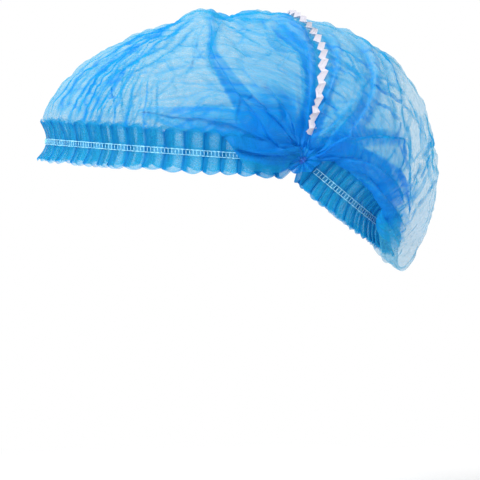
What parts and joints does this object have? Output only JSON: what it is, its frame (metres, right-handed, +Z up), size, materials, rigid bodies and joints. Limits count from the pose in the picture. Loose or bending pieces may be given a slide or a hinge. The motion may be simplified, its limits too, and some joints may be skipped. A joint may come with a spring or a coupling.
{
  "type": "pleated clip cap",
  "caption": "Disposable pleated head cover with an elasticated, stitched hem front and rear and a folded crown tape, opening like a fan about its side gathers.",
  "frame": {"origin": "middle of the fan line, the line through the two side gathers above the ears", "axes": "+X from the brow to the nape, +Y from the wearer's left to right, +Z up"},
  "size_m": [0.2167, 0.1594, 0.1414],
  "materials": {
    "spunbond_crown": "sheer embossed non-woven",
    "spunbond_hem": "doubled embossed non-woven",
    "white_tape": "matte folded tape",
    "elastic": "braided flat elastic",
    "thread": "spun polyester sewing thread"
  },
  "bodies": {
    "crown": {"crown_front": "spunbond_crown", "crown_rear": "spunbond_crown", "crown_tape": "white_tape", "left_gather": "spunbond_hem", "right_gather": "spunbond_hem", "left_tack": "thread", "right_tack": "thread"},
    "front_hem": {"front_hem_face": "spunbond_hem", "front_hem_turning": "spunbond_hem", "front_elastic": "elastic", "front_upper_stitch": "thread", "front_lower_stitch": "thread", "front_cover_thread": "thread"},
    "rear_hem": {"rear_hem_face": "spunbond_hem", "rear_hem_turning": "spunbond_hem", "rear_elastic": "elastic", "rear_upper_stitch": "thread", "rear_lower_stitch": "thread", "rear_cover_thread": "thread"}
  },
  "joints": [
    {"name": "front_hem_swing", "type": "hinge", "parent": "crown", "child": "front_hem", "pos_m": [0, 0, 0], "axis": [0, 1, 0], "range_deg": [-8, 25], "deforming": ["crown_front"]},
    {"name": "rear_hem_swing", "type": "hinge", "parent": "crown", "child": "rear_hem", "pos_m": [0, 0, 0], "axis": [0, -1, 0], "range_deg": [-10, 20], "deforming": ["crown_rear"]}
  ]
}
